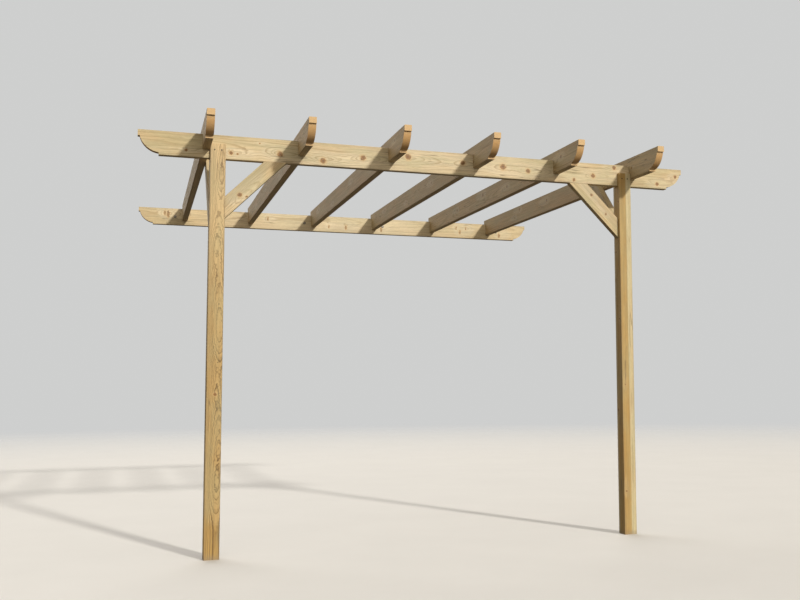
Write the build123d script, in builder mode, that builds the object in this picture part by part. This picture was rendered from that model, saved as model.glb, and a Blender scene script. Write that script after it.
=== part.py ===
from build123d import *
from math import atan2, cos, sin, sqrt, tan
import os

# Lean-to pergola in planed, pressure-treated softwood.
# All sizes are in millimetres. X runs along the wall plate, Y from the front to the rear, Z is up.
# The origin is the middle of the wall plate's rear face, the flat face that is bolted on.

# Timber sections
DEPTH = 145.0            # rafters, beam and wall plate, on edge
THICK = 45.0             # rafters, beam, wall plate and braces
POST_WIDTH = 90.0        # square posts
BRACE_DEPTH = 95.0
ARRIS = 3.0              # planed timber has its long corners eased
POST_ARRIS = 5.0

# Lengths and spacings
SPAN = 3600.0            # beam and wall plate, end to end
PAST_POST = 408.0        # the beam runs on past the outer face of each post
POST_HEIGHT = 2448.0
REACH = 3180.0           # rear face of the wall plate to the front face of the beam
OVERHANG = 426.0         # rafters beyond the front face of the beam
FALL = 92.0              # the beam sits this much lower than the wall plate
RAFTERS = 6

# Joints
HALVING = 50.0           # depth of each notch where a rafter crosses the beam or the plate
SLOT_DEEP = 86.0         # open slot in the post top that the beam drops into
PROUD_FRONT = 54.0       # rafters stand this much above the front of the beam
PROUD_WALL = 41.0        # and this much above the front of the wall plate
BEAM_BRACE_REACH = 360.0    # longest reach of a brace, down the post and along the beam
RAFTER_BRACE_REACH = 480.0  # the same for the braces that run back under the outer rafters
LAP = 90.0               # a rafter brace runs this far up the side of its rafter

# Sawn profile on the ends of the beam, the plate and the rafters: a square nose, a step in, one long
# convex sweep and a small lip, measured in from the end and down from the top edge
NOSE = 36.0
STEP_IN = 11.0
SWEEP_OUT = 103.0
SWEEP_DOWN = 94.0
SWEEP_RADIUS = 124.0
LIP_IN = 4.0

# Bolts in the wall plate, one beside each outer rafter and one beside each of the middle two
BOLT_HOLE = 11.0
BOLT_BESIDE = 60.0       # from the side of the rafter to the bolt

# Heights and depths that follow from the above
PLATE_TOP = DEPTH / 2
BEAM_TOP = PLATE_TOP - FALL
BEAM_UNDER = BEAM_TOP - DEPTH
BEAM_BACK = REACH - THICK
POST_TOP = BEAM_UNDER + SLOT_DEEP
POST_FOOT = POST_TOP - POST_HEIGHT
POST_Y = -(REACH - THICK / 2)
POST_REAR = POST_Y + POST_WIDTH / 2
POST_X = SPAN / 2 - PAST_POST - POST_WIDTH / 2
SLOPE = atan2(FALL + PROUD_WALL - PROUD_FRONT, REACH - THICK)
TOP_AT_WALL = PLATE_TOP + PROUD_WALL + tan(SLOPE) * THICK
NOSE_Y = -(REACH + OVERHANG)
NOSE_Z = TOP_AT_WALL + tan(SLOPE) * NOSE_Y
OUTER_RAFTER_X = SPAN / 2 - PAST_POST + THICK / 2
RAFTER_PITCH = 2 * OUTER_RAFTER_X / (RAFTERS - 1)
RAFTER_X = [i * RAFTER_PITCH - OUTER_RAFTER_X for i in range(RAFTERS)]
BOLT_X = [x + THICK / 2 + BOLT_BESIDE for x in (RAFTER_X[RAFTERS // 2], OUTER_RAFTER_X)]
RUN_ON = 40.0            # spare length, sawn off plumb in line with the plate's rear face
OVERCUT = 1.0            # a cut passes this far outside the timber, so it leaves no skin


def draw_sawn_waste():
    """Draws what the saw takes off one end, for an end at x = 0 and a top edge at y = 0."""
    step = (STEP_IN, -NOSE)
    sweep_end = (STEP_IN + SWEEP_OUT, -(NOSE + SWEEP_DOWN))
    lip_x = sweep_end[0] + LIP_IN
    Polyline((-OVERCUT, -NOSE), step)
    RadiusArc(step, sweep_end, -SWEEP_RADIUS)
    Polyline(
        sweep_end,
        (lip_x, sweep_end[1]),
        (lip_x, -(DEPTH + OVERCUT)),
        (-OVERCUT, -(DEPTH + OVERCUT)),
        (-OVERCUT, -NOSE),
    )


# Posts, with an open slot across the head for the beam
posts = {}
for name, side in (("post_left", -1), ("post_right", 1)):
    with BuildPart() as post:
        with BuildSketch(Plane.XY.offset(POST_FOOT)):
            with Locations((side * POST_X, POST_Y)):
                RectangleRounded(POST_WIDTH, POST_WIDTH, POST_ARRIS)
        extrude(amount=POST_HEIGHT)
        with BuildSketch(Plane.XY.offset(POST_TOP)):
            with Locations((side * POST_X, POST_Y)):
                Rectangle(POST_WIDTH + OVERCUT, THICK)
        extrude(amount=-SLOT_DEEP, mode=Mode.SUBTRACT)
    posts[name] = post

# Front beam, notched from above for each rafter, both ends sawn to the profile
with BuildPart() as front_beam:
    with BuildSketch(Plane.YZ.offset(-SPAN / 2)):
        with Locations((POST_Y, BEAM_TOP - DEPTH / 2)):
            RectangleRounded(THICK, DEPTH, ARRIS)
    extrude(amount=SPAN)
    with BuildSketch(Plane.XZ.offset(BEAM_BACK)):
        with Locations(*[(x, BEAM_TOP) for x in RAFTER_X]):
            Rectangle(THICK, 2 * HALVING)
    extrude(amount=THICK, mode=Mode.SUBTRACT)
    with BuildSketch(Plane((-SPAN / 2, -BEAM_BACK, BEAM_TOP), x_dir=(1, 0, 0), z_dir=(0, -1, 0))):
        with BuildLine():
            draw_sawn_waste()
        make_face()
    extrude(amount=THICK, mode=Mode.SUBTRACT)
    mirror(about=Plane.YZ, mode=Mode.INTERSECT)

# Wall plate, the same board, bored for the wall bolts
with BuildPart() as wall_plate:
    with BuildSketch(Plane.YZ.offset(-SPAN / 2)):
        with Locations((-THICK / 2, PLATE_TOP - DEPTH / 2)):
            RectangleRounded(THICK, DEPTH, ARRIS)
    extrude(amount=SPAN)
    with BuildSketch(Plane.XZ):
        with Locations(*[(x, PLATE_TOP) for x in RAFTER_X]):
            Rectangle(THICK, 2 * HALVING)
        with Locations(*[(side * x, 0) for x in BOLT_X for side in (-1, 1)]):
            Circle(BOLT_HOLE / 2)
    extrude(amount=THICK, mode=Mode.SUBTRACT)
    with BuildSketch(Plane((-SPAN / 2, 0, PLATE_TOP), x_dir=(1, 0, 0), z_dir=(0, -1, 0))):
        with BuildLine():
            draw_sawn_waste()
        make_face()
    extrude(amount=THICK, mode=Mode.SUBTRACT)
    mirror(about=Plane.YZ, mode=Mode.INTERSECT)

# Rafters, falling towards the front, notched from below over the beam and over the plate
rafters = []
for x in RAFTER_X:
    along = (0, cos(SLOPE), sin(SLOPE))
    side_plane = Plane((x - THICK / 2, NOSE_Y, NOSE_Z), x_dir=along, z_dir=(1, 0, 0))
    end_plane = Plane((x, NOSE_Y, NOSE_Z), x_dir=(1, 0, 0), z_dir=along)
    with BuildPart() as rafter:
        with BuildSketch(end_plane):
            with Locations((0, DEPTH / 2)):
                RectangleRounded(THICK, DEPTH, ARRIS)
        extrude(amount=-NOSE_Y + RUN_ON)
        with BuildSketch(side_plane):
            with BuildLine():
                draw_sawn_waste()
            make_face()
        extrude(amount=THICK, mode=Mode.SUBTRACT)
        with BuildSketch(Plane.YZ.offset(x - THICK / 2)):
            with Locations((POST_Y, BEAM_TOP - HALVING)):
                Rectangle(THICK, DEPTH, align=(Align.CENTER, Align.MAX))
            with Locations((-THICK, PLATE_TOP - HALVING)):
                Rectangle(THICK + OVERCUT, DEPTH, align=(Align.MIN, Align.MAX))
            with Locations((0, PLATE_TOP)):
                Rectangle(2 * RUN_ON, 2 * DEPTH, align=(Align.MIN, Align.CENTER))
        extrude(amount=THICK, mode=Mode.SUBTRACT)
    rafters.append(rafter)

# Braces, all cut from the same board with a mitre at both ends: one end stands against the post
MITRE = BRACE_DEPTH * sqrt(2)


def draw_brace(start, direction, foot, reach):
    """Draws a brace that rises at 45 degrees from start, the face of the post."""
    Polyline(
        (start, foot),
        (start, foot + MITRE),
        (start + direction * (reach - MITRE), foot + reach),
        (start + direction * reach, foot + reach),
        close=True,
    )


def long_edges(brace):
    """The four edges that run along a brace, which are eased."""
    return brace.edges().filter_by(lambda edge: abs(abs(edge.tangent_at(0.5).Z) - 1 / sqrt(2)) < 0.01)


# From each post to the underside of the beam, flush with the front of the beam
beam_braces = {}
for name, side in (("brace_left_beam", -1), ("brace_right_beam", 1)):
    with BuildPart() as brace:
        with BuildSketch(Plane.XZ.offset(BEAM_BACK)):
            with BuildLine():
                inner_face = side * (POST_X - POST_WIDTH / 2)
                draw_brace(inner_face, -side, BEAM_UNDER - BEAM_BRACE_REACH, BEAM_BRACE_REACH)
            make_face()
        extrude(amount=THICK)
        fillet(long_edges(brace), ARRIS)
    beam_braces[name] = brace

# From the rear of each post up the inner side of the outer rafter, flush with the outside of the post
rafter_braces = {}
for name, side in (("brace_left_rafter", -1), ("brace_right_rafter", 1)):
    outside = side * (POST_X + POST_WIDTH / 2)
    lowest_x = min(outside, outside - side * THICK)
    rafter_under = TOP_AT_WALL + tan(SLOPE) * (POST_REAR + RAFTER_BRACE_REACH) - DEPTH / cos(SLOPE)
    foot = rafter_under - RAFTER_BRACE_REACH
    with BuildPart() as brace:
        with BuildSketch(Plane.YZ.offset(lowest_x)):
            with BuildLine():
                draw_brace(POST_REAR, 1, foot, RAFTER_BRACE_REACH + LAP)
            make_face()
        extrude(amount=THICK)
        fillet(long_edges(brace), ARRIS)
    rafter_braces[name] = brace

pieces = {"front_beam": front_beam, "wall_plate": wall_plate}
pieces.update(posts)
pieces.update({f"rafter_{i + 1}": rafter for i, rafter in enumerate(rafters)})
pieces.update(beam_braces)
pieces.update(rafter_braces)

os.makedirs("parts", exist_ok=True)
for name, piece in pieces.items():
    piece.part.label = name
    export_step(piece.part, f"parts/{name}.step")
    size = piece.part.bounding_box().size
    print(f"{name}: {size.X:.1f} x {size.Y:.1f} x {size.Z:.1f}")
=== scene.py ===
from math import cos, pi, radians, sin, sqrt, tau

import bmesh
import bpy
from mathutils import Matrix, Vector


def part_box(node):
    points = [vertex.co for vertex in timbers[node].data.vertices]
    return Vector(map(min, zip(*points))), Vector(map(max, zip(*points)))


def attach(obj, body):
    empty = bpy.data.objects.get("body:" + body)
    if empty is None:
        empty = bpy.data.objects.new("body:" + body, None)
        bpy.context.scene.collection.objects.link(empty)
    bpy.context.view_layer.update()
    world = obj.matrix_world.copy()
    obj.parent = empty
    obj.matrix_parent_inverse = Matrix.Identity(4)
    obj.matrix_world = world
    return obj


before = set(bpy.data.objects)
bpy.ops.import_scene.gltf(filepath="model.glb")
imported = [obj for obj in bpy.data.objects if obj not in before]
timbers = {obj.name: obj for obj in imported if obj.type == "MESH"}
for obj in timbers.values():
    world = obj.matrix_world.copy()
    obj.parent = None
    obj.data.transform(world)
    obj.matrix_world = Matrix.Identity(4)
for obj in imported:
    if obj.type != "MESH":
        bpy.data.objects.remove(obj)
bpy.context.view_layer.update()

# Viewpoint
# The pergola is seen from the front, from a place a little left of the left post and about a metre
# above its foot, looking slightly up and to the right.
STANDPOINT = Vector((-1.7521, -9.4351, -1.5837))
TURNED_RIGHT = radians(20.177)
TILTED_UP = radians(5.020)
LEANING = radians(0.498)
SENSOR_WIDTH = 36.0
FOCAL_LENGTH = 45.87
SHIFTED_ASIDE = -0.1443
SHIFTED_UP = 0.0051

camera = bpy.data.objects.new("camera", bpy.data.cameras.new("camera"))
bpy.context.scene.collection.objects.link(camera)
camera.data.sensor_width = SENSOR_WIDTH
camera.data.lens = FOCAL_LENGTH
camera.data.shift_x = SHIFTED_ASIDE
camera.data.shift_y = SHIFTED_UP
camera.matrix_world = (
    Matrix.Translation(STANDPOINT)
    @ Matrix.Rotation(-TURNED_RIGHT, 4, "Z")
    @ Matrix.Rotation(pi / 2 + TILTED_UP, 4, "X")
    @ Matrix.Rotation(-LEANING, 4, "Z")
)
bpy.context.scene.camera = camera

# Posts
# Two square posts of planed, pressure-treated softwood, sawn from small logs with the pith inside
# the section. A slot across each head takes the front beam, and the corners are eased.
TO_THE_RIGHT = Vector((1, 0, 0))
TO_THE_REAR = Vector((0, 1, 0))
UPRIGHT = Vector((0, 0, 1))


def add(tree, kind, inputs=None, **settings):
    """Adds a node to a tree, with its settings, and feeds its inputs with sockets or plain values."""
    node = tree.nodes.new("ShaderNode" + kind)
    for name, value in settings.items():
        setattr(node, name, value)
    for name, value in (inputs or {}).items():
        if isinstance(value, bpy.types.NodeSocket):
            tree.links.new(value, node.inputs[name])
        else:
            node.inputs[name].default_value = value
    return node


def work_out(tree, operation, *values):
    """One step of arithmetic on numbers."""
    return add(tree, "Math", dict(enumerate(values)), operation=operation).outputs[0]


def add_up(tree, start, *shares):
    """Adds a share of each of several masks to a starting value."""
    total = start
    for mask, share in shares:
        total = work_out(tree, "MULTIPLY_ADD", mask, share, total)
    return total


def move(tree, operation, *values):
    """One step of arithmetic on places and directions."""
    node = add(tree, "VectorMath", dict(enumerate(values)), operation=operation)
    return node.outputs["Value" if operation in ("DOT_PRODUCT", "LENGTH") else "Vector"]


def split_up(tree, place):
    """The three numbers of a place, under X, Y and Z. In a board, X is along it and Z through it."""
    return add(tree, "SeparateXYZ", {0: place}).outputs


def comb(tree, place, share):
    """Shortens a place along the grain to this share, so that a pattern on it is drawn out lengthwise."""
    return move(tree, "MULTIPLY", place, (share, 1.0, 1.0))


def fade(tree, value, start, end, from_value=0.0, to_value=1.0):
    """Goes softly from one value to another between start and end."""
    inputs = {"Value": value, "From Min": start, "From Max": end, "To Min": from_value, "To Max": to_value}
    return add(tree, "MapRange", inputs, interpolation_type="SMOOTHSTEP").outputs["Result"]


def fade_out(tree, value, start, end):
    """Goes softly from one to nothing between start and end."""
    return fade(tree, value, start, end, from_value=1.0, to_value=0.0)


def noise(tree, place, size, detail, roughness):
    """Uneven patches of about this size in metres."""
    inputs = {"Vector": place, "Scale": 1.0 / size, "Detail": detail, "Roughness": roughness}
    return add(tree, "TexNoise", inputs)


def cloudy(tree, place, size, detail=2.0, roughness=0.5):
    """Patches of light and shade, from nought to one."""
    return noise(tree, place, size, detail, roughness).outputs["Fac"]


def unsteady(tree, place, size, detail=2.0, roughness=0.5):
    """Patches that push in different directions, by up to a half each way."""
    patches = noise(tree, place, size, detail, roughness).outputs["Color"]
    return move(tree, "SUBTRACT", patches, (0.5, 0.5, 0.5))


# A mix node has sockets of each kind under the same names, so those for colours go by number
MIX_AMOUNT, MIX_UNDER, MIX_OVER, MIXED = 0, 6, 7, 2


def stain(tree, where, under, over, strength=1.0, way="MIX"):
    """Lays one colour over another where a mask says so, at this strength."""
    amount = where if strength == 1.0 else work_out(tree, "MULTIPLY", where, strength)
    colours = {MIX_AMOUNT: amount, MIX_UNDER: under, MIX_OVER: over}
    return add(tree, "Mix", colours, data_type="RGBA", blend_type=way).outputs[MIXED]


def open_group(name, places, numbers=()):
    """A new shader node group that takes places and numbers. Gives its tree and what comes in."""
    tree = bpy.data.node_groups.new(name, "ShaderNodeTree")
    for socket in places:
        tree.interface.new_socket(name=socket, in_out="INPUT", socket_type="NodeSocketVector")
    for socket in numbers:
        tree.interface.new_socket(name=socket, in_out="INPUT", socket_type="NodeSocketFloat")
    return tree, tree.nodes.new("NodeGroupInput").outputs


def close_group(tree, **masks):
    """Gives a group its outputs, one for each mask that was worked out in it."""
    names = {mask: mask.replace("_", " ").capitalize() for mask in masks}
    for name in names.values():
        tree.interface.new_socket(name=name, in_out="OUTPUT", socket_type="NodeSocketFloat")
    result = tree.nodes.new("NodeGroupOutput").inputs
    for mask, socket in masks.items():
        tree.links.new(socket, result[names[mask]])
    return tree


def place_group(tree, group, inputs):
    """Places a node group in a material and gives its outputs."""
    return add(tree, "Group", inputs, node_tree=group).outputs


# A branch is thin at the pith and full at the face. It draws the rings round it out along the board,
# further above it than below.
BRANCH_AT_PITH = 0.03
BRANCH_AT_FACE = 1.1
SQUEEZE_BELOW = 0.48
SQUEEZE_ABOVE = 0.20
SQUEEZE_CHANGE = 0.012
FLOW_FALL_OFF = -0.34


def draw_knots():
    """A knot is a branch cut through: it widens outwards from the pith, and the rings flow round it."""
    tree, given = open_group(
        "Knot", ("Place", "Middle", "Branch"), ("Radius", "Flow", "Depth", "Swelling", "Nearness"),
    )
    from_middle = move(tree, "SUBTRACT", given["Place"], given["Middle"])
    outward = move(tree, "DOT_PRODUCT", from_middle, given["Branch"])
    outward = work_out(tree, "DIVIDE", outward, given["Depth"])
    widening = fade(tree, outward, start=-1.0, end=0.3, from_value=BRANCH_AT_PITH, to_value=BRANCH_AT_FACE)
    aside = move(tree, "LENGTH", move(tree, "CROSS_PRODUCT", from_middle, given["Branch"]))
    radius = work_out(tree, "MULTIPLY", widening, given["Radius"])
    nearness = work_out(tree, "DIVIDE", aside, radius)

    lengthwise = split_up(tree, from_middle)["X"]
    squeeze = fade(tree, lengthwise, -SQUEEZE_CHANGE, SQUEEZE_CHANGE, SQUEEZE_BELOW, SQUEEZE_ABOVE)
    squeeze = add(tree, "CombineXYZ", {"X": squeeze, "Y": 1.0, "Z": 1.0}).outputs["Vector"]
    squeezed = move(tree, "MULTIPLY", from_middle, squeeze)
    aside = move(tree, "LENGTH", move(tree, "CROSS_PRODUCT", squeezed, given["Branch"]))
    flow = work_out(tree, "MULTIPLY", widening, given["Flow"])
    aside = work_out(tree, "DIVIDE", aside, flow)
    falling_off = work_out(tree, "MULTIPLY", work_out(tree, "MULTIPLY", aside, aside), FLOW_FALL_OFF)
    swelling = work_out(tree, "MULTIPLY", work_out(tree, "EXPONENT", falling_off), flow)
    return close_group(
        tree,
        swelling=work_out(tree, "ADD", given["Swelling"], swelling),
        nearness=work_out(tree, "MINIMUM", nearness, given["Nearness"]),
    )


# The pith wanders in long bends, knots push the rings outwards, and fine ripples run along them
BEND_LENGTH = 0.9
BEND_STRETCH = (0.9, 4.0, 4.0)
SWELLING_SHARE = -0.8
RIPPLE_SIZE = 0.018
RIPPLE_HEIGHT = 0.0020
# Rings shift by up to this many widths, so that no two are alike, and each is darkest near its edge
RINGS_UNEVEN = 1.6
DARKEST = 0.90
HEART_EDGE = 0.0008


def draw_rings():
    """Yearly rings stand round the pith, so that every face of a board shows its own cut of one log."""
    tree, given = open_group(
        "Yearly rings", ("Place", "Log place", "Pith"),
        ("Ring width", "Wander", "Taper", "Heart radius", "Swelling", "Late from"),
    )
    bends = move(tree, "MULTIPLY", given["Log place"], BEND_STRETCH)
    drift = {0: unsteady(tree, bends, BEND_LENGTH, roughness=0.45), "Scale": given["Wander"]}
    drift = add(tree, "VectorMath", drift, operation="SCALE").outputs["Vector"]
    from_pith = move(tree, "SUBTRACT", move(tree, "SUBTRACT", given["Place"], given["Pith"]), drift)
    ripple = cloudy(tree, comb(tree, given["Log place"], 0.10), RIPPLE_SIZE)
    distance = add_up(
        tree, move(tree, "LENGTH", comb(tree, from_pith, 0.0)),
        (split_up(tree, given["Place"])["X"], given["Taper"]),
        (given["Swelling"], SWELLING_SHARE),
        (ripple, RIPPLE_HEIGHT),
    )
    ring = work_out(tree, "DIVIDE", distance, given["Ring width"])
    uneven = add(tree, "TexNoise", {"W": ring, "Scale": 0.37, "Detail": 1.0}, noise_dimensions="1D")
    ring = add_up(tree, ring, (uneven.outputs["Fac"], RINGS_UNEVEN))
    part = work_out(tree, "FRACT", ring)
    darkening = fade(tree, part, given["Late from"], DARKEST)
    late_wood = work_out(tree, "MULTIPLY", darkening, fade_out(tree, part, DARKEST, 1.0))
    number = work_out(tree, "FLOOR", ring)
    tone = add(tree, "TexWhiteNoise", {"W": number}, noise_dimensions="1D").outputs["Value"]
    inside_heart = work_out(tree, "SUBTRACT", given["Heart radius"], distance)
    return close_group(
        tree, late_wood=late_wood, ring_tone=tone, heart=fade(tree, inside_heart, -HEART_EDGE, HEART_EDGE),
    )


FIBRE_WIDTH = 0.0016
BRUSH_WIDTH = 0.010
DUCT_WIDTH = 0.0030
CRACKS_APART = 0.022
DRY_PATCH = 0.06


def draw_fibres():
    """Fine lines run along the grain, with short darker ducts of resin and fine drying cracks."""
    tree, given = open_group("Fibres", ("Place",))
    combed = comb(tree, given["Place"], 0.035)
    fine = cloudy(tree, combed, FIBRE_WIDTH, detail=3.0, roughness=0.6)
    ducts = cloudy(tree, comb(tree, given["Place"], 0.09), DUCT_WIDTH, detail=1.0, roughness=0.4)
    split = cloudy(tree, combed, CRACKS_APART, detail=1.0)
    from_split = work_out(tree, "ABSOLUTE", work_out(tree, "SUBTRACT", split, 0.5))
    dry = cloudy(tree, comb(tree, given["Place"], 0.2), DRY_PATCH)
    thin = fade_out(tree, from_split, start=0.004, end=0.020)
    return close_group(
        tree,
        fibres=fade(tree, fine, start=0.30, end=0.72),
        resin=fade(tree, ducts, start=0.66, end=0.76),
        brush=cloudy(tree, combed, BRUSH_WIDTH),
        cracks=work_out(tree, "MULTIPLY", thin, fade(tree, dry, start=0.57, end=0.62)),
    )


RAGGED_SIZE = 0.009
BARK_PATCH = 0.030
OWN_RINGS = 15.0


def draw_knot_faces():
    """The face of a knot: orange-brown wood with rings of its own, a dark middle, in part a rim of bark."""
    tree, given = open_group("Knot face", ("Place",), ("Nearness",))
    ragged = split_up(tree, unsteady(tree, given["Place"], RAGGED_SIZE, detail=3.0, roughness=0.6))
    edge = add_up(tree, given["Nearness"], (ragged["X"], 0.9))
    inner_edge = add_up(tree, given["Nearness"], (ragged["Y"], 1.5))
    wave = work_out(tree, "SINE", work_out(tree, "MULTIPLY", edge, OWN_RINGS))
    rim = fade(tree, edge, start=0.66, end=0.96)
    rim = work_out(tree, "MULTIPLY", rim, fade_out(tree, edge, start=0.98, end=1.22))
    barked = fade(tree, cloudy(tree, given["Place"], BARK_PATCH, detail=1.0), start=0.40, end=0.62)
    return close_group(
        tree,
        knot=fade_out(tree, edge, start=0.84, end=1.12),
        rim=work_out(tree, "MULTIPLY", rim, barked),
        own_rings=add_up(tree, 0.5, (wave, 0.5)),
        dark_middle=fade_out(tree, inner_edge, start=0.15, end=0.75),
    )


WEAR_SIZE = 0.012
WEAR_DEPTH = 0.008


def draw_corners():
    """Long corners are eased with a plane, and handling wears and soils them."""
    tree, given = open_group("Eased corners", ("Place", "Half section"), ("Width",))
    inside = move(tree, "SUBTRACT", given["Half section"], move(tree, "ABSOLUTE", given["Place"]))
    inside = split_up(tree, inside)
    from_corner = work_out(tree, "MAXIMUM", inside["Y"], inside["Z"])
    worn = cloudy(tree, comb(tree, given["Place"], 0.25), WEAR_SIZE, detail=3.0, roughness=0.65)
    from_corner = add_up(tree, from_corner, (work_out(tree, "SUBTRACT", 0.5, worn), WEAR_DEPTH))
    from_corner = work_out(tree, "DIVIDE", from_corner, given["Width"])
    return close_group(tree, corner=fade_out(tree, from_corner, start=0.35, end=1.0))


GREEN_PATCH = 0.075
RESIN_PATCH = 0.13
OTHER_PATCHES = (3.1, 1.7, 0.4)


def draw_treatment():
    """The green salt of the treatment takes unevenly, and lies in clouds along the board."""
    tree, given = open_group("Treatment", ("Place",))
    combed = comb(tree, given["Place"], 0.28)
    elsewhere = move(tree, "ADD", combed, OTHER_PATCHES)
    green = cloudy(tree, combed, GREEN_PATCH, detail=3.0, roughness=0.55)
    warm = cloudy(tree, elsewhere, RESIN_PATCH, detail=3.0, roughness=0.55)
    return close_group(
        tree,
        green=fade(tree, green, start=0.36, end=0.66),
        warm=fade(tree, warm, start=0.40, end=0.62),
    )


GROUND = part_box("post_left")[0].z
SPLASH_HEIGHT = 0.09
SOIL_SIZE = 0.05
GOLDEN_BELOW = -1.3
GOLDEN_UP_TO = 0.05


def draw_feet():
    """A standing timber is more golden below, with stronger rings, and rain splashes soil up its foot."""
    tree, given = open_group("Foot", ("Place",), ("Golden foot",))
    height = split_up(tree, given["Place"])["Z"]
    soil = cloudy(tree, given["Place"], SOIL_SIZE, detail=4.0, roughness=0.6)
    splashed = add_up(tree, height, (soil, SPLASH_HEIGHT))
    soiled = GROUND + SPLASH_HEIGHT * 0.4
    clean = GROUND + SPLASH_HEIGHT
    return close_group(
        tree,
        golden=fade(tree, height, GOLDEN_BELOW, GOLDEN_UP_TO, from_value=given["Golden foot"], to_value=0.0),
        ring_strength=fade(tree, height, GOLDEN_BELOW, GOLDEN_UP_TO, from_value=1.0, to_value=0.6),
        splash=fade(tree, splashed, soiled, clean, from_value=0.55, to_value=0.0),
    )


def draw_sawn_ends():
    """Faces that the saw cut across the grain, and among them those that are square to the board."""
    tree, given = open_group("Sawn ends", ("Facing", "Along"))
    endways = work_out(tree, "ABSOLUTE", move(tree, "DOT_PRODUCT", given["Facing"], given["Along"]))
    return close_group(
        tree,
        end_grain=fade(tree, endways, start=0.10, end=0.45),
        square_cut=fade(tree, endways, start=0.90, end=0.98),
    )


knot_group = draw_knots()
ring_group = draw_rings()
fibre_group = draw_fibres()
knot_face_group = draw_knot_faces()
corner_group = draw_corners()
treatment_group = draw_treatment()
foot_group = draw_feet()
sawn_end_group = draw_sawn_ends()

EARLY_WOOD = (0.655, 0.525, 0.315, 1)
LATE_WOOD = (0.27, 0.155, 0.055, 1)
HEART_WOOD = (0.47, 0.285, 0.080, 1)
PALE_WOOD = (0.76, 0.66, 0.47, 1)
GREEN_SALT = (0.44, 0.42, 0.235, 1)
WARM_RESIN = (0.60, 0.40, 0.19, 1)
KNOT_WOOD = (0.30, 0.140, 0.032, 1)
KNOT_MIDDLE = (0.11, 0.045, 0.015, 1)
KNOT_BARK = (0.09, 0.05, 0.03, 1)
SAWN_END = (0.71, 0.465, 0.235, 1)
SAWN_SWEEP = (0.76, 0.42, 0.155, 1)
SOILED = (0.28, 0.22, 0.15, 1)

# Each board takes its wood from a log of its own, and the logs lie end to end, this long
LOG_LENGTH = 7.3
# So far off that nothing shows: in metres along a board, or in radii of a knot
FAR_OFF = 9.0
KNOT_UNEVENNESS = (0.014, 0.010, 0.010)
UNEVEN_SIZE = 0.016
CORNER_WIDTH = 0.010
FAINTEST_RING = 0.35
PLANED_ROUGHNESS = 0.60
RELIEF_DEPTH = 0.0009


def new_finish(name):
    """An empty material, with its node tree."""
    finish = bpy.data.materials.new(name)
    finish.use_nodes = True
    finish.node_tree.nodes.clear()
    return finish, finish.node_tree


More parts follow.
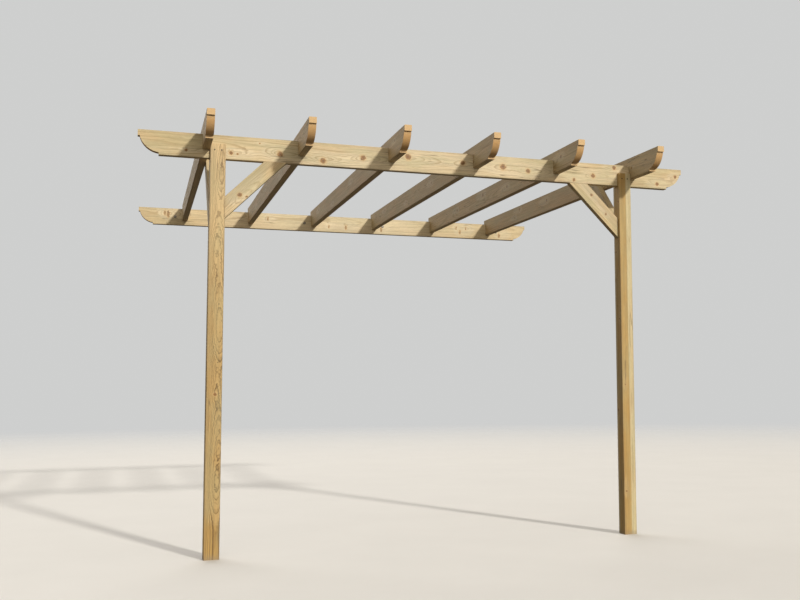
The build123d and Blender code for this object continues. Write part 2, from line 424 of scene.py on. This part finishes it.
def cut_timber(
    name, middle, along, across, section, pith, log_number, knots, ring_width, wander, taper, grain,
    late_from=0.35, heart_radius=0.0, early=EARLY_WOOD, late=LATE_WOOD, green=0.40, warm=0.40,
    pale=0.45, paler_middle=0.0, knot_stain=0.92, golden_foot=None,
):
    """The finish of one board, as a piece of a log of its own.

    The board is given by its middle, its directions and its section. Places in it are along it, across
    its width and through its thickness, from its middle. The pith is such a place without the first
    number, and knots are (place, branch, radius, flow, depth). Then come sizes of the rings and how
    strongly each stain takes. A standing post also says how golden its foot is, which may be nought.
    """
    finish, tree = new_finish(name)
    axes = Matrix((along, across, along.cross(across))).transposed()
    whole_place = add(tree, "TexCoord").outputs["Object"]
    lie = {"Vector": whole_place, "Location": middle, "Rotation": axes.to_euler()}
    board = add(tree, "Mapping", lie, vector_type="TEXTURE").outputs["Vector"]
    log = move(tree, "ADD", board, (log_number * LOG_LENGTH, 0.0, 0.0))
    uneven = move(tree, "MULTIPLY", unsteady(tree, log, UNEVEN_SIZE), KNOT_UNEVENNESS)
    knotty = move(tree, "ADD", board, uneven)

    swelling, nearness = 0.0, FAR_OFF
    for place, branch, radius, flow, depth in knots:
        branched = place_group(tree, knot_group, {
            "Place": knotty, "Middle": place, "Branch": Vector(branch).normalized(), "Radius": radius,
            "Flow": flow, "Depth": depth, "Swelling": swelling, "Nearness": nearness})
        swelling, nearness = branched["Swelling"], branched["Nearness"]
    knot_face = place_group(tree, knot_face_group, {"Nearness": nearness, "Place": log})
    rings = place_group(tree, ring_group, {
        "Place": board, "Log place": log, "Pith": (0.0, *pith), "Ring width": ring_width,
        "Wander": wander, "Taper": taper, "Heart radius": heart_radius, "Swelling": swelling,
        "Late from": late_from})
    fibres = place_group(tree, fibre_group, {"Place": log})
    treatment = place_group(tree, treatment_group, {"Place": log})
    half_section = (FAR_OFF, section[0] / 2, section[1] / 2)
    corners = place_group(tree, corner_group, {
        "Place": board, "Half section": half_section, "Width": CORNER_WIDTH})
    facing = add(tree, "NewGeometry").outputs["Normal"]
    ends = place_group(tree, sawn_end_group, {"Facing": facing, "Along": tuple(along)})

    # The wood as it grew: resin, heart, the pale flame round knots, and the darker wood of each ring
    darkness = add_up(tree, FAINTEST_RING, (rings["Ring tone"], 1.0 - FAINTEST_RING))
    darkness = work_out(tree, "MULTIPLY", darkness, rings["Late wood"])
    darkness = work_out(tree, "MULTIPLY", darkness, grain)
    colour = stain(tree, treatment["Warm"], early, WARM_RESIN, strength=warm)
    if heart_radius:
        colour = stain(tree, rings["Heart"], colour, HEART_WOOD, strength=0.92)
    if paler_middle:
        from_middle = work_out(tree, "ABSOLUTE", split_up(tree, board)["X"])
        paler = fade(tree, from_middle, start=0.3, end=1.7, from_value=paler_middle, to_value=0.0)
        colour = stain(tree, paler, colour, PALE_WOOD)
    if golden_foot is not None:
        foot = place_group(tree, foot_group, {"Place": whole_place, "Golden foot": golden_foot})
        darkness = work_out(tree, "MULTIPLY", darkness, foot["Ring strength"])
        colour = stain(tree, foot["Golden"], colour, HEART_WOOD)
    flame = fade(tree, swelling, start=0.0005, end=0.004)
    colour = stain(tree, flame, colour, PALE_WOOD, strength=pale)
    colour = stain(tree, darkness, colour, late)

    # What treating and planing show: green salt, brushed fibres and ducts of resin
    colour = stain(tree, treatment["Green"], colour, GREEN_SALT, strength=green)
    brush = fade(tree, fibres["Brush"], start=0.3, end=0.7, from_value=0.88, to_value=1.07)
    streak = fade(tree, fibres["Fibres"], start=0.0, end=1.0, from_value=0.86, to_value=1.04)
    streak = work_out(tree, "MULTIPLY", streak, brush)
    streaks = add(tree, "CombineColor", {"Red": streak, "Green": streak, "Blue": streak}).outputs["Color"]
    colour = stain(tree, 1.0, colour, streaks, way="MULTIPLY")
    colour = stain(tree, fibres["Resin"], colour, LATE_WOOD, strength=0.35)

    # Knots, with the stain round them, then cracks, soiled corners and sawn ends
    colour = stain(tree, fade_out(tree, nearness, start=1.0, end=2.1), colour, WARM_RESIN, strength=0.5)
    knot_colour = stain(tree, knot_face["Own rings"], KNOT_WOOD, LATE_WOOD, strength=0.5)
    knot_colour = stain(tree, knot_face["Dark middle"], knot_colour, KNOT_MIDDLE, strength=0.8)
    colour = stain(tree, knot_face["Knot"], colour, knot_colour, strength=knot_stain)
    colour = stain(tree, knot_face["Rim"], colour, KNOT_BARK, strength=0.7)
    colour = stain(tree, fibres["Cracks"], colour, KNOT_BARK, strength=0.55)
    colour = stain(tree, corners["Corner"], colour, SOILED, strength=0.22)
    sawn = stain(tree, ends["Square cut"], SAWN_SWEEP, SAWN_END)
    colour = stain(tree, ends["End grain"], colour, sawn, strength=0.60)
    if golden_foot is not None:
        colour = stain(tree, foot["Splash"], colour, SOILED)

    # Fibres and sawn ends are rougher than the rest, knots smoother, and cracks are the deepest
    rough = add_up(
        tree, PLANED_ROUGHNESS,
        (fibres["Fibres"], 0.14), (ends["End grain"], 0.15), (knot_face["Knot"], -0.16),
    )
    relief = add_up(tree, 0.0, (fibres["Fibres"], 0.35), (fibres["Cracks"], -1.2), (fibres["Brush"], 0.6))
    relief = add(tree, "Bump", {"Height": relief, "Strength": 0.35, "Distance": RELIEF_DEPTH})
    surface = add(tree, "BsdfPrincipled", {
        "Base Color": colour, "Roughness": rough, "Normal": relief.outputs["Normal"],
        "Specular IOR Level": 0.35})
    add(tree, "OutputMaterial", {"Surface": surface.outputs["BSDF"]})
    return finish


def dress(node, finish):
    """Gives a timber its finish."""
    for slot in timbers[node].material_slots:
        slot.material = finish


def middle_of(node):
    """The middle of a timber's box."""
    low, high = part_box(node)
    return (low + high) / 2


POST_WIDTH = 0.090
# On a post, along is up, across is to the right and through is to the rear
FRONT, RIGHT, LEFT, REAR = (0, 0, -1), (0, 1, 0), (0, -1, 0), (0, 0, 1)
# Height, side it comes out of, place across that side, radius, and how far the rings flow round it.
# Those of 1 mm never reach the face: only their rings show.
POST_KNOTS = {
    "post_left": [
        (-0.268, FRONT, 0.024, 0.001, 0.034), (-0.730, FRONT, -0.020, 0.001, 0.030),
        (-1.200, FRONT, 0.028, 0.001, 0.046), (-1.574, FRONT, 0.006, 0.0100, 0.014),
        (-1.880, FRONT, 0.042, 0.001, 0.018), (-2.080, FRONT, 0.036, 0.001, 0.044),
        (-0.900, REAR, 0.010, 0.010, 0.014), (-1.700, REAR, -0.018, 0.012, 0.016),
        (-2.300, LEFT, 0.012, 0.007, 0.010),
    ],
    "post_right": [
        (-0.275, LEFT, -0.030, 0.009, 0.012), (-0.620, LEFT, 0.015, 0.009, 0.012),
        (-1.080, LEFT, -0.020, 0.006, 0.010), (-1.530, FRONT, -0.022, 0.005, 0.010),
        (-1.700, LEFT, 0.020, 0.010, 0.014), (-2.240, FRONT, -0.026, 0.006, 0.010),
        (-0.800, REAR, -0.012, 0.011, 0.014), (-1.400, RIGHT, 0.015, 0.010, 0.014),
        (-2.050, REAR, 0.020, 0.009, 0.012),
    ],
}
# The left post has broad dark rings, which knots draw into flames on its face. The right one shows its
# orange heart on the left part of its face, and pale sapwood on the rest.
POST_LOGS = {
    "post_left": {
        "log_number": 9, "pith": (0.022, 0.002), "ring_width": 0.0062, "wander": 0.030, "taper": 0.012,
        "grain": 0.85, "golden_foot": 0.88,
        "early": (0.690, 0.525, 0.285, 1), "late": (0.110, 0.058, 0.018, 1),
    },
    "post_right": {
        "log_number": 10, "pith": (-0.034, -0.023), "ring_width": 0.0045, "wander": 0.006, "taper": 0.001,
        "grain": 0.45, "golden_foot": 0.0, "heart_radius": 0.0477,
        "early": (0.640, 0.545, 0.325, 1),
    },
}


def post_knots(node):
    """Turns heights and sides into places in the post."""
    knots = []
    for height, side, aside, radius, flow in POST_KNOTS[node]:
        beside = Vector((0, 1, 0)) if side in (FRONT, REAR) else Vector((0, 0, 1))
        place = Vector((height - middle_of(node).z, 0, 0)) + Vector(side) * (POST_WIDTH / 2) + beside * aside
        knots.append((place, side, radius, flow, POST_WIDTH / 2))
    return knots


for node, grown in POST_LOGS.items():
    finish = cut_timber(
        node + "_finish", middle_of(node), UPRIGHT, TO_THE_RIGHT, (POST_WIDTH, POST_WIDTH),
        knots=post_knots(node), late_from=0.36, green=0.25, pale=0.10, **grown,
    )
    dress(node, finish)

# Two countersunk screws go through each cheek into the beam, in a dark outdoor coating
TURNED_SIDES = 24


def turn(mesh, place, outward, rings):
    """Adds a small turned or forged part: rings of (radius, height, outline) from the bottom to the top,
    where the outline makes a radius depend on the angle."""
    upright = outward.to_track_quat("Z", "Y").to_matrix()
    loops = []
    for radius, height, outline in rings:
        loop = []
        for side in range(TURNED_SIDES):
            angle = tau * side / TURNED_SIDES
            reach = radius * outline(angle)
            point = Vector((reach * cos(angle), reach * sin(angle), height))
            loop.append(mesh.verts.new(place + upright @ point))
        loops.append(loop)
    for lower, upper in zip(loops, loops[1:]):
        for side in range(TURNED_SIDES):
            after = (side + 1) % TURNED_SIDES
            mesh.faces.new((lower[side], lower[after], upper[after], upper[side]))
    mesh.faces.new(loops[0][::-1])
    mesh.faces.new(loops[-1])


def round_edge(angle):
    """A plain circle."""
    return 1.0


def star(angle):
    """The six lobes of a driver's socket."""
    return 1.0 + 0.2 * cos(6 * angle)


# From the sunk shank up over the rim, and down into the socket
SCREW_RADIUS = 0.0046
SCREW_HEAD = [
    (SCREW_RADIUS * 0.45, -0.0040, round_edge), (SCREW_RADIUS, -0.0002, round_edge),
    (SCREW_RADIUS, 0.0002, round_edge), (SCREW_RADIUS * 0.93, 0.0005, round_edge),
    (SCREW_RADIUS * 0.52, 0.0005, round_edge), (SCREW_RADIUS * 0.40, 0.0005, star),
    (SCREW_RADIUS * 0.36, 0.0001, star),
]
CHEEK_SCREW_DOWN = 0.0375
CHEEK_SCREW_ASIDE = 0.020
COATING = (0.055, 0.042, 0.028, 1)
WORN_COATING = (0.11, 0.085, 0.06, 1)
BLOTCH_SIZE = 0.004
METAL_GRAIN = 0.0006
METAL_RELIEF = 0.0001
SHARP_EDGE = radians(30)


def draw_metal_wear():
    """The coat of a small steel part wears off in blotches, and has a fine grain."""
    tree, given = open_group("Metal wear", ("Place",))
    blotches = cloudy(tree, given["Place"], BLOTCH_SIZE, detail=3.0, roughness=0.6)
    return close_group(
        tree,
        worn=fade(tree, blotches, start=0.42, end=0.68),
        rubbed=fade(tree, blotches, start=0.3, end=0.7),
        grain=cloudy(tree, given["Place"], METAL_GRAIN, roughness=0.6),
    )


metal_wear_group = draw_metal_wear()


def metal_finish(name, plain, worn, roughness, metal):
    """A coated or plated steel, duller where it is rubbed."""
    finish, tree = new_finish(name)
    wear = place_group(tree, metal_wear_group, {"Place": add(tree, "TexCoord").outputs["Object"]})
    colour = stain(tree, wear["Worn"], plain, worn)
    rough = add_up(tree, roughness, (wear["Rubbed"], 0.18))
    relief = add(tree, "Bump", {"Height": wear["Grain"], "Strength": 0.3, "Distance": METAL_RELIEF})
    surface = add(tree, "BsdfPrincipled", {
        "Base Color": colour, "Roughness": rough, "Metallic": metal, "Normal": relief.outputs["Normal"]})
    add(tree, "OutputMaterial", {"Surface": surface.outputs["BSDF"]})
    return finish


def fit(name, mesh, finish):
    """Makes a piece of small parts from a mesh, and fixes it to the pergola."""
    piece = bpy.data.objects.new(name, bpy.data.meshes.new(name))
    mesh.to_mesh(piece.data)
    mesh.free()
    piece.data.shade_smooth()
    piece.data.set_sharp_from_angle(angle=SHARP_EDGE)
    piece.data.materials.append(finish)
    bpy.context.scene.collection.objects.link(piece)
    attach(piece, "root")


screw_coating = metal_finish("screw_coating", COATING, WORN_COATING, roughness=0.42, metal=0.5)
screws = bmesh.new()
for node in POST_LOGS:
    low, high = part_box(node)
    for side in (-1, 1):
        place = Vector(((low.x + high.x) / 2 + side * CHEEK_SCREW_ASIDE, low.y, high.z - CHEEK_SCREW_DOWN))
        turn(screws, place, -TO_THE_REAR, SCREW_HEAD)
        place.y = high.y
        turn(screws, place, TO_THE_REAR, SCREW_HEAD)
fit("post_head_screws", screws, screw_coating)

# Front beam
# A 45 x 145 mm board on edge, sawn to one long sweep at both ends. It drops into the slots of the
# posts and is notched from above for the six rafters. Its pith lay well behind and below the board.
BOARD_WIDTH = 0.145
BOARD_THICKNESS = 0.045
BOARD = (BOARD_WIDTH, BOARD_THICKNESS)
# Knots on its face: place along, distance below the top edge, radius
BEAM_KNOTS = [
    (-1.529, 0.106, 0.007), (-1.271, 0.105, 0.011), (-1.232, 0.108, 0.006), (-1.104, 0.033, 0.005),
    (-0.981, 0.090, 0.016), (-0.719, 0.114, 0.017), (-0.468, 0.077, 0.016), (-0.177, 0.050, 0.018),
    (0.190, 0.063, 0.016), (0.467, 0.070, 0.019), (0.644, 0.085, 0.015), (0.977, 0.124, 0.012),
    (1.119, 0.087, 0.015), (1.279, 0.021, 0.014), (1.609, 0.112, 0.013), (1.753, 0.053, 0.011),
]
BEAM_PITH = (-0.015, -0.075)
OUTWARD_BRANCH = (0, 0.12, 1)
BRANCH_DEPTH = 0.16
FLOW_PER_RADIUS = 1.3


def board_knots(marks, branch, through=0.0):
    """Knots in a board, from (place along, place across, radius), all with branches that lie alike."""
    return [
        ((along, across, through), branch, radius, radius * FLOW_PER_RADIUS, BRANCH_DEPTH)
        for along, across, radius in marks
    ]


beam_marks = [(x, BOARD_WIDTH / 2 - down, radius) for x, down, radius in BEAM_KNOTS]
beam_finish = cut_timber(
    "front_beam_finish", middle_of("front_beam"), TO_THE_RIGHT, UPRIGHT, BOARD, BEAM_PITH,
    log_number=3, knots=board_knots(beam_marks, OUTWARD_BRANCH, through=BOARD_THICKNESS / 2),
    ring_width=0.0050, wander=0.050, taper=0.012, grain=0.55, paler_middle=0.42,
)
dress("front_beam", beam_finish)

# Wall plate
# The same board at the rear, bolted on flat, with the same ends and the same notches. It is the
# palest of the boards, and the saw ran along its branches, so that its knots are upright spikes.
# Knots on its face: place along, height above the middle, radius
PLATE_KNOTS = [
    (-1.583, 0.028, 0.009), (-1.556, 0.014, 0.012), (-0.696, 0.020, 0.007), (-0.141, -0.026, 0.007),
    (0.018, -0.028, 0.009), (0.352, -0.032, 0.008), (1.090, 0.022, 0.006), (1.128, -0.020, 0.009),
    (1.186, 0.020, 0.006), (1.530, -0.034, 0.009),
]
PLATE_PITH = (0.030, -0.090)
UPWARD_BRANCH = (0, 2.0, 1)
plate_finish = cut_timber(
    "wall_plate_finish", middle_of("wall_plate"), TO_THE_RIGHT, UPRIGHT, BOARD, PLATE_PITH,
    log_number=8, knots=board_knots(PLATE_KNOTS, UPWARD_BRANCH, through=BOARD_THICKNESS / 2),
    ring_width=0.0055, wander=0.050, taper=0.012, grain=0.40, green=0.20, warm=0.28,
    paler_middle=0.55, knot_stain=0.70,
)
dress("wall_plate", plate_finish)

# Each bolt has a hexagon head on a washer, and its shank runs through the hole in the plate
SHANK = 0.0050
WASHER = 0.0120
SPANNER = 0.0085
BESIDE_RAFTER = 0.060
ZINC = (0.34, 0.32, 0.28, 1)
DULL_ZINC = (0.22, 0.19, 0.15, 1)


def hexagon(angle):
    """Six flats, sharp at the corners."""
    return 1.0 / cos((angle + pi / 6) % (pi / 3) - pi / 6)


# From the end of the shank up over the washer and the head
WALL_BOLT = [
    (SHANK, -0.0440, round_edge), (SHANK, 0.0, round_edge), (WASHER, 0.0, round_edge),
    (WASHER, 0.0016, round_edge), (WASHER * 0.97, 0.0020, round_edge), (SPANNER, 0.0020, hexagon),
    (SPANNER, 0.0075, hexagon), (SPANNER * 0.93, 0.0085, round_edge), (SPANNER * 0.5, 0.0087, round_edge),
]
bolt_places = [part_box(node)[0].x - BESIDE_RAFTER for node in ("rafter_1", "rafter_3")]
bolt_places += [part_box(node)[1].x + BESIDE_RAFTER for node in ("rafter_4", "rafter_6")]
bolts = bmesh.new()
for x in bolt_places:
    turn(bolts, Vector((x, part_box("wall_plate")[0].y, 0.0)), -TO_THE_REAR, WALL_BOLT)
zinc = metal_finish("dull_zinc", ZINC, DULL_ZINC, roughness=0.50, metal=0.60)
fit("wall_bolts", bolts, zinc)

# Rafters
# Six boards on edge that fall gently from the plate to the front, halved over the plate and the beam,
# with the same sawn nose, and screwed down through their top edges. Each is from a log of its own.
# Knots that run through from side to side: place along from the middle, place across, radius
RAFTER_KNOTS = [
    [(-1.45, -0.02, 0.010), (-0.70, 0.03, 0.012), (0.10, -0.03, 0.009), (0.85, 0.02, 0.012),
     (1.50, -0.01, 0.010)],
    [(-1.30, 0.01, 0.008), (-0.52, -0.03, 0.012), (0.35, 0.02, 0.010), (1.05, -0.02, 0.011),
     (1.62, 0.03, 0.008)],
    [(-1.55, 0.03, 0.009), (-0.90, -0.01, 0.012), (-0.15, 0.02, 0.011), (0.62, -0.03, 0.010),
     (1.33, 0.02, 0.012)],
    [(-1.38, -0.03, 0.012), (-1.20, 0.02, 0.008), (-0.35, 0.01, 0.012), (0.42, -0.02, 0.009),
     (1.20, 0.03, 0.011)],
    [(-1.51, 0.02, 0.013), (-1.02, -0.02, 0.010), (-0.45, 0.00, 0.013), (0.13, 0.03, 0.015),
     (0.85, 0.01, 0.012)],
    [(-1.42, 0.00, 0.009), (-0.62, 0.02, 0.012), (0.15, 0.02, 0.014), (0.80, 0.04, 0.013),
     (0.92, -0.02, 0.011)],
]
RAFTER_PITHS = [(-0.02, -0.07), (0.03, 0.06), (-0.10, -0.03), (0.01, -0.05), (-0.03, 0.08), (0.09, -0.04)]
RAFTER_LOGS = (13, 16, 19, 22, 25, 28)
RAFTER_WOOD = (0.600, 0.460, 0.265, 1)
THROUGH_BRANCH = (0, 0.1, 1)
FALL_PER_METRE = 0.0252
rafter_along = Vector((0, 1, FALL_PER_METRE)).normalized()
rafter_across = Vector((0, -FALL_PER_METRE, 1)).normalized()
screws = bmesh.new()
for count, (marks, pith, log_number) in enumerate(zip(RAFTER_KNOTS, RAFTER_PITHS, RAFTER_LOGS), start=1):
    node = f"rafter_{count}"
    low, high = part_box(node)
    middle = (low + high) / 2
    middle.z = high.z + FALL_PER_METRE * middle.y - BOARD_WIDTH / 2
    finish = cut_timber(
        node + "_finish", middle, rafter_along, rafter_across, BOARD, pith,
        log_number=log_number, knots=board_knots(marks, THROUGH_BRANCH),
        ring_width=0.0046, wander=0.045, taper=0.010, grain=0.58, green=0.28, early=RAFTER_WOOD,
    )
    dress(node, finish)
    for carrier in ("front_beam", "wall_plate"):
        y = middle_of(carrier).y
        turn(screws, Vector((middle.x, y, high.z + FALL_PER_METRE * y)), rafter_across, SCREW_HEAD)
fit("rafter_screws", screws, screw_coating)

# Knee braces
# Short boards, mitred at both ends so that they rise at 45 degrees: two from the posts to the beam,
# and two from the backs of the posts, which lap the outer rafters.
BRACE_WIDTH = 0.095
BRACE_PITH = (0.01, -0.06)
FIRST_BRACE_LOG = 41
# Knots: place along x or y, height, radius
BRACE_KNOTS = {
    "brace_left_beam": [(-1.215, -0.378, 0.012), (-1.174, -0.387, 0.006)],
    "brace_right_beam": [(1.109, -0.239, 0.011), (1.212, -0.365, 0.009)],
    "brace_left_rafter": [(-2.900, -0.300, 0.009)],
    "brace_right_rafter": [(-2.960, -0.330, 0.010)],
}
for log_number, (node, seen) in enumerate(BRACE_KNOTS.items(), start=FIRST_BRACE_LOG):
    middle = middle_of(node)
    under_beam = node.endswith("beam")
    if under_beam:
        level = TO_THE_RIGHT if middle.x < 0 else -TO_THE_RIGHT
    else:
        level = TO_THE_REAR
    along = (UPRIGHT + level).normalized()
    across = (UPRIGHT - level).normalized()
    marks = []
    for sideways, height, radius in seen:
        place = Vector((sideways, middle.y, height)) if under_beam else Vector((middle.x, sideways, height))
        place -= middle
        marks.append((place.dot(along), place.dot(across), radius))
    finish = cut_timber(
        node + "_finish", middle, along, across, (BRACE_WIDTH, BOARD_THICKNESS), BRACE_PITH,
        log_number=log_number, knots=board_knots(marks, THROUGH_BRANCH),
        ring_width=0.0048, wander=0.030, taper=0.012, grain=0.45,
    )
    dress(node, finish)

# One screw goes in through the lower edge at each end that stands against a post or under the beam,
# and two through the side where a brace laps its rafter
FROM_END = 0.030
LAP_SCREWS = (0.030, 0.068)
HALF_MITRE = BRACE_WIDTH / 2 * sqrt(2)
screws = bmesh.new()
for node in BRACE_KNOTS:
    low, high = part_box(node)
    middle = middle_of(node)
    inwards = TO_THE_RIGHT if middle.x < 0 else -TO_THE_RIGHT
    if node.endswith("beam"):
        post_side, beam_side = (low.x, high.x) if middle.x < 0 else (high.x, low.x)
        downwards = (inwards - UPRIGHT).normalized()
        by_post = Vector((post_side, middle.y, low.z)) + (inwards + UPRIGHT) * FROM_END
        by_beam = Vector((beam_side, middle.y, high.z)) - (inwards + UPRIGHT) * FROM_END
        turn(screws, by_post, downwards, SCREW_HEAD)
        turn(screws, by_beam, downwards, SCREW_HEAD)
    else:
        by_post = Vector((middle.x, low.y, low.z)) + (TO_THE_REAR + UPRIGHT) * FROM_END
        turn(screws, by_post, (TO_THE_REAR - UPRIGHT).normalized(), SCREW_HEAD)
        side = middle + inwards * (BOARD_THICKNESS / 2)
        for down in LAP_SCREWS:
            turn(screws, Vector((side.x, high.y - HALF_MITRE - down, high.z - down)), inwards, SCREW_HEAD)
fit("brace_screws", screws, screw_coating)

# Floor
# A plain pale floor that the posts stand on. It thins out far away, so that no horizon shows, and
# throws only a little warm light back up.
FLOOR_RADIUS = 60.0
FLOOR_SIDES = 96
FLOOR_MIDDLE = (0.0, -1.8, GROUND)
THINS_FROM = 6.0
THINS_TO = 26.0
SPECKLE_SIZE = 0.8
PLASTER = (0.70, 0.69, 0.67, 1)
PALE_PLASTER = (0.76, 0.75, 0.73, 1)
THROWN_BACK = (0.085, 0.07, 0.05, 1)
floor_mesh = bmesh.new()
bmesh.ops.create_circle(floor_mesh, cap_ends=True, segments=FLOOR_SIDES, radius=FLOOR_RADIUS)
floor = bpy.data.objects.new("floor", bpy.data.meshes.new("floor"))
floor_mesh.to_mesh(floor.data)
floor_mesh.free()
bpy.context.scene.collection.objects.link(floor)
floor.location = FLOOR_MIDDLE
floor_finish, tree = new_finish("pale_floor")
place = add(tree, "TexCoord").outputs["Object"]
far = fade(tree, move(tree, "LENGTH", place), THINS_FROM, THINS_TO)
speckle = cloudy(tree, place, SPECKLE_SIZE, detail=5.0, roughness=0.6)
plaster = stain(tree, speckle, PLASTER, PALE_PLASTER)
to_camera = add(tree, "LightPath").outputs["Is Camera Ray"]
plaster = stain(tree, to_camera, THROWN_BACK, plaster)
solid = add(tree, "BsdfPrincipled", {"Base Color": plaster, "Roughness": 0.85}).outputs["BSDF"]
nothing = add(tree, "BsdfTransparent").outputs["BSDF"]
thinned = work_out(tree, "MULTIPLY", far, to_camera)
surface = add(tree, "MixShader", {0: thinned, 1: solid, 2: nothing})
add(tree, "OutputMaterial", {"Surface": surface.outputs["Shader"]})
floor.data.materials.append(floor_finish)

# Light
# A small bright lamp stands in front, 20 degrees to the right and 24 degrees up, and casts the
# shadows. A broad one beside it and one behind soften them, and pale light comes from all round.
TO_KEY_LAMP = Vector((0.37, -1.0, 0.48))
TO_SKY_LAMP = Vector((0.10, -1.0, 0.30))
TO_REAR_LAMP = Vector((-0.06, 1.0, 0.7))
BACKDROP = (0.62, 0.625, 0.62, 1)
ALL_ROUND = (1.0, 0.92, 0.81, 1)


def hang_lamp(name, towards, strength, softness, colour):
    """A far lamp that shines from this direction."""
    lamp = bpy.data.objects.new(name, bpy.data.lights.new(name, "SUN"))
    bpy.context.scene.collection.objects.link(lamp)
    lamp.rotation_euler = towards.to_track_quat("Z", "Y").to_euler()
    lamp.data.energy = strength
    lamp.data.angle = softness
    lamp.data.color = colour


hang_lamp("key_lamp", TO_KEY_LAMP, strength=2.62, softness=radians(3.5), colour=(1.0, 0.955, 0.87))
hang_lamp("sky_lamp", TO_SKY_LAMP, strength=1.50, softness=radians(90), colour=(1.0, 0.93, 0.82))
hang_lamp("rear_lamp", TO_REAR_LAMP, strength=1.9, softness=radians(60), colour=(1.0, 0.97, 0.93))
world = bpy.data.worlds.new("soft_light")
bpy.context.scene.world = world
world.use_nodes = True
tree = world.node_tree
tree.nodes.clear()
seen = add(tree, "Background", {"Color": BACKDROP, "Strength": 1.0}).outputs["Background"]
shining = add(tree, "Background", {"Color": ALL_ROUND, "Strength": 0.19}).outputs["Background"]
to_camera = add(tree, "LightPath").outputs["Is Camera Ray"]
both = add(tree, "MixShader", {0: to_camera, 1: shining, 2: seen})
add(tree, "OutputWorld", {"Surface": both.outputs["Shader"]})
bpy.context.scene.view_settings.view_transform = "Standard"
